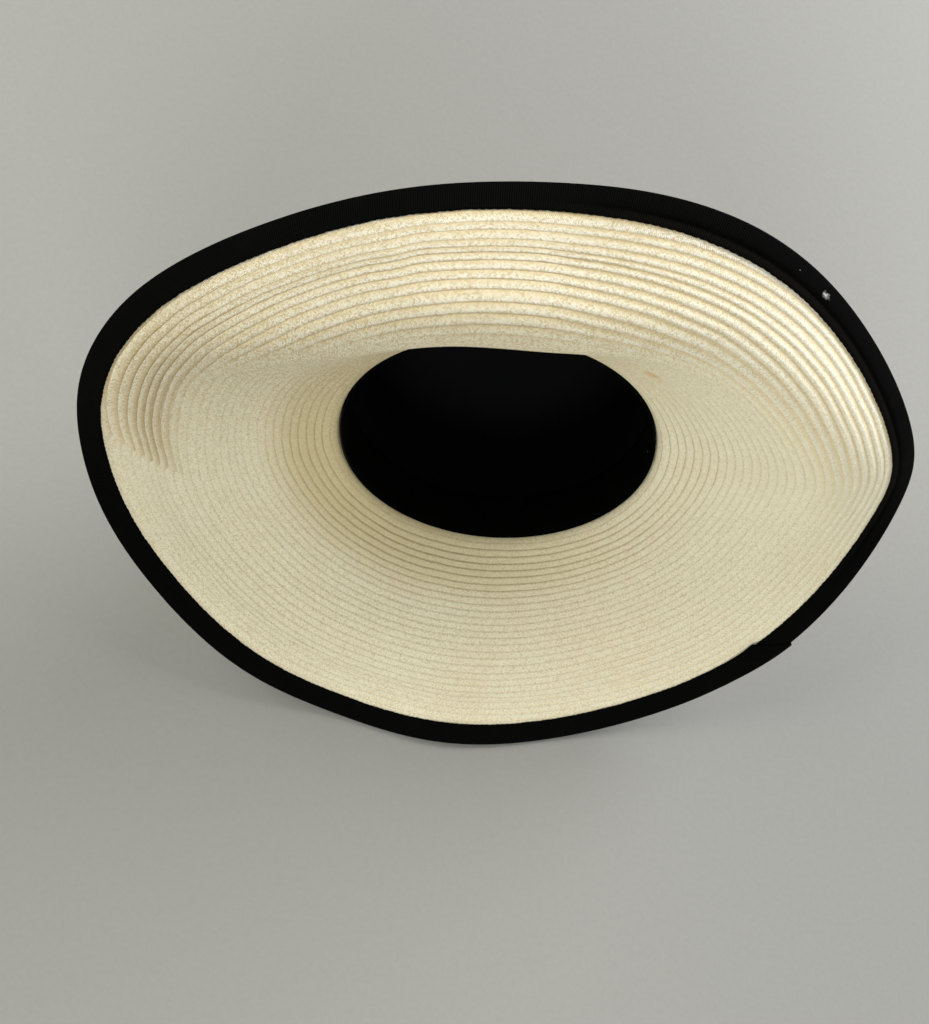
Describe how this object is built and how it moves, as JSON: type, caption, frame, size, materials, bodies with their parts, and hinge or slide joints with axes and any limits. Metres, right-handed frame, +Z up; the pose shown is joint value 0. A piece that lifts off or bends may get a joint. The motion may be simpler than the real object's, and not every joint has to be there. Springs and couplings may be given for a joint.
{
  "type": "sun hat",
  "caption": "floppy sun hat of braided straw with a wide brim turned up at the front, a dark ribbon-bound edge, a ribbon sweatband and a dark crown lining, lying on its back",
  "frame": {"origin": "centre of the bounding box, on the floor that the hat lies on", "axes": "+Z up from the floor; +X across the hat, the widest way, from its left side to its right as the picture shows them; +Y away from the opening, the way the crown points"},
  "size_m": [0.4554, 0.3048, 0.2854],
  "materials": {
    "straw": "matte",
    "ribbon": "matte",
    "lining": "matte"
  },
  "bodies": {
    "root": {"crown": "straw", "brim": "straw", "edge_binding": "ribbon", "binding_lap": "ribbon", "sweatband": "ribbon", "crown_lining": "lining"}
  },
  "joints": []
}
